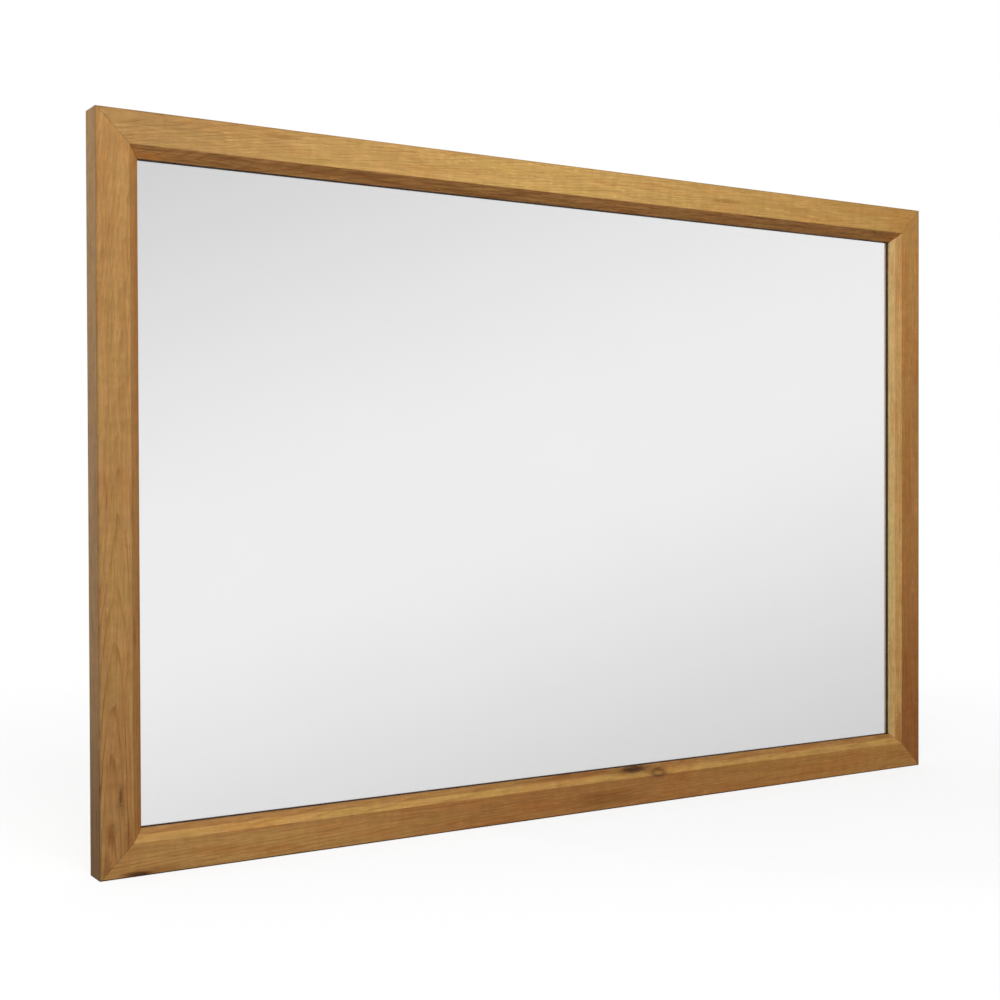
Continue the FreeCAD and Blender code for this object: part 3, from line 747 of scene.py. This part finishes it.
def floor():
    """A pale studio floor at the mirror's foot, which fades out before its rim so that no horizon shows."""
    mesh = bmesh.new()
    bmesh.ops.create_circle(mesh, cap_ends=True, radius=FLOOR_RADIUS, segments=96)
    data = bpy.data.meshes.new("studio_floor")
    mesh.to_mesh(data)
    mesh.free()
    piece = bpy.data.objects.new("studio_floor", data)
    piece.location = (0.0, 0.0, cad_box[0].z)
    bpy.context.scene.collection.objects.link(piece)
    p = Pattern("studio_floor")
    reach = (p.x * p.x + p.y * p.y).root() / MM
    clear = reach.rise(FLOOR_SOLID, FLOOR_END) * (1.0 - FLOOR_CLEAR) + FLOOR_CLEAR
    tone = p.noise((600.0, 600.0, 600.0), 5.0)
    colour = p.mix(tone, linear(252, 252, 252), linear(254, 254, 254))
    p.finish(colour, tone * 0.05 + 0.9, specular=0.0)
    see_through = p.tree.nodes.new("ShaderNodeBsdfTransparent")
    blend = p.tree.nodes.new("ShaderNodeMixShader")
    feed(p.tree, blend.inputs[0], clear)
    p.tree.links.new(p.shader.outputs[0], blend.inputs[1])
    p.tree.links.new(see_through.outputs[0], blend.inputs[2])
    output = p.tree.nodes["Material Output"]
    p.tree.links.new(blend.outputs[0], output.inputs["Surface"])
    data.materials.append(p.material)
    piece.visible_glossy = False
    piece.visible_transmission = False
    piece.visible_diffuse = False


# ---------------------------------------------------------------- camera

CAMERA_PLACE = Vector((-1.081, -1.5755, 0.013))
CAMERA_YAW = math.radians(31.91)  # turned from +Y towards +X
CAMERA_PITCH = math.radians(-0.72)  # upwards
CAMERA_ROLL = math.radians(-0.18)
CAMERA_LENS = 55.1  # millimetres, with a sensor as wide as the next value
CAMERA_SENSOR = 36.0

forward = Vector((
    math.sin(CAMERA_YAW) * math.cos(CAMERA_PITCH),
    math.cos(CAMERA_YAW) * math.cos(CAMERA_PITCH),
    math.sin(CAMERA_PITCH),
))
level = Vector((math.cos(CAMERA_YAW), -math.sin(CAMERA_YAW), 0.0))
above = level.cross(forward)
right = level * math.cos(CAMERA_ROLL) + above * math.sin(CAMERA_ROLL)
up = above * math.cos(CAMERA_ROLL) - level * math.sin(CAMERA_ROLL)


def camera():
    """The camera at the front left, level with the mirror's middle."""
    data = bpy.data.cameras.new("camera")
    data.lens = CAMERA_LENS
    data.sensor_width = CAMERA_SENSOR
    piece = bpy.data.objects.new("camera", data)
    turned = Matrix((right, up, -forward)).transposed()
    piece.matrix_world = Matrix.Translation(CAMERA_PLACE) @ turned.to_4x4()
    bpy.context.scene.collection.objects.link(piece)
    bpy.context.scene.camera = piece


# ---------------------------------------------------------------- light

BACKDROP = 1.0  # radiance of the white backdrop
STUDIO_GREY = 0.575  # of the studio in front of the mirror, far from its bright band
STUDIO_BAND = 0.37  # how much brighter the middle of that band is
BAND_SLANT = 1.0 / 3.0  # how far the band leans
BAND_MIDDLE = -0.01  # its height, as a slope from the mirror
BAND_UPPER = 0.29  # its width above its middle
BAND_LOWER = 0.238  # its width below its middle


class Sky:
    """The world's node tree, with the direction of a ray as x, y and z."""

    def __init__(self):
        world = bpy.data.worlds.new("studio")
        bpy.context.scene.world = world
        world.use_nodes = True
        self.tree = world.node_tree
        self.shader = self.tree.nodes["Background"]
        coordinates = self.tree.nodes.new("ShaderNodeTexCoord")
        parts = self.tree.nodes.new("ShaderNodeSeparateXYZ")
        self.tree.links.new(coordinates.outputs["Generated"], parts.inputs[0])
        self.x, self.y, self.z = (Wire(self.tree, parts.outputs[k]) for k in range(3))
        self.path = self.tree.nodes.new("ShaderNodeLightPath")

    def toward(self, direction):
        """How much of the ray goes that way."""
        return self.x * direction.x + self.y * direction.y + self.z * direction.z

    def on(self, kind):
        """1 for that kind of ray, 0 for others."""
        return Wire(self.tree, self.path.outputs[kind])


def studio():
    """White for the camera, a soft slanting band of light for reflections, and a dimmer room for lighting."""
    sky = Sky()
    mirrored = Vector((1.0, -1.0, 1.0))  # the mirror turns the ray's y round
    seen_forward = forward * mirrored
    seen_slope = (right * BAND_SLANT - up) * mirrored

    # what is reflected: the band in front of the mirror, and a plain gradient behind it
    slope = sky.toward(seen_slope) / sky.toward(seen_forward).most(0.05) - BAND_MIDDLE
    width = slope.rise(-0.0001, 0.0001) * (BAND_LOWER - BAND_UPPER) + BAND_UPPER
    scaled = slope / width
    band = (scaled * scaled * -1.0).math("EXPONENT") * STUDIO_BAND + STUDIO_GREY
    behind = sky.y.rise(-0.1, 0.3)
    reflected = band + behind * (sky.z.line(-1.0, 1.0, 0.0, 0.9) - band)

    # what lights the matt surfaces
    front = sky.z.line(-1.0, 1.0, 0.34, 0.1) + sky.x.line(-1.0, 0.0, 0.1, 0.0)
    rear = sky.y.rise(0.3, 0.95) * 0.6 + sky.z.line(-1.0, 1.0, 0.02, 0.4) + sky.x.line(0.0, 1.0, 0.0, 1.2)
    lighting = front + behind * (rear - front)

    for_surfaces = reflected + sky.on("Is Diffuse Ray") * (lighting - reflected)
    radiance = for_surfaces + sky.on("Is Camera Ray") * (BACKDROP - for_surfaces)
    feed(sky.tree, sky.shader.inputs["Strength"], radiance)
    sky.shader.inputs["Color"].default_value = (1.0, 1.0, 1.0, 1.0)


def softbox(name, place, aim, size, power):
    """A rectangular light of that width and height in metres and power in watts, turned to the aim."""
    data = bpy.data.lights.new(name, "AREA")
    data.shape = "RECTANGLE"
    data.size, data.size_y = size
    data.energy = power
    piece = bpy.data.objects.new(name, data)
    piece.location = place
    piece.rotation_mode = "QUATERNION"
    piece.rotation_quaternion = (Vector(aim) - Vector(place)).to_track_quat("-Z", "Y")
    bpy.context.scene.collection.objects.link(piece)


floor()
camera()
studio()
softbox("key", (-0.75, -1.4, 1.5), (0.0, 0.0, 0.1), (1.0, 0.8), 32.0)
softbox("side", (-1.6, 0.15, 1.0), (-0.6, 0.0, 0.2), (0.6, 0.8), 4.5)

bpy.context.scene.view_settings.view_transform = "Standard"
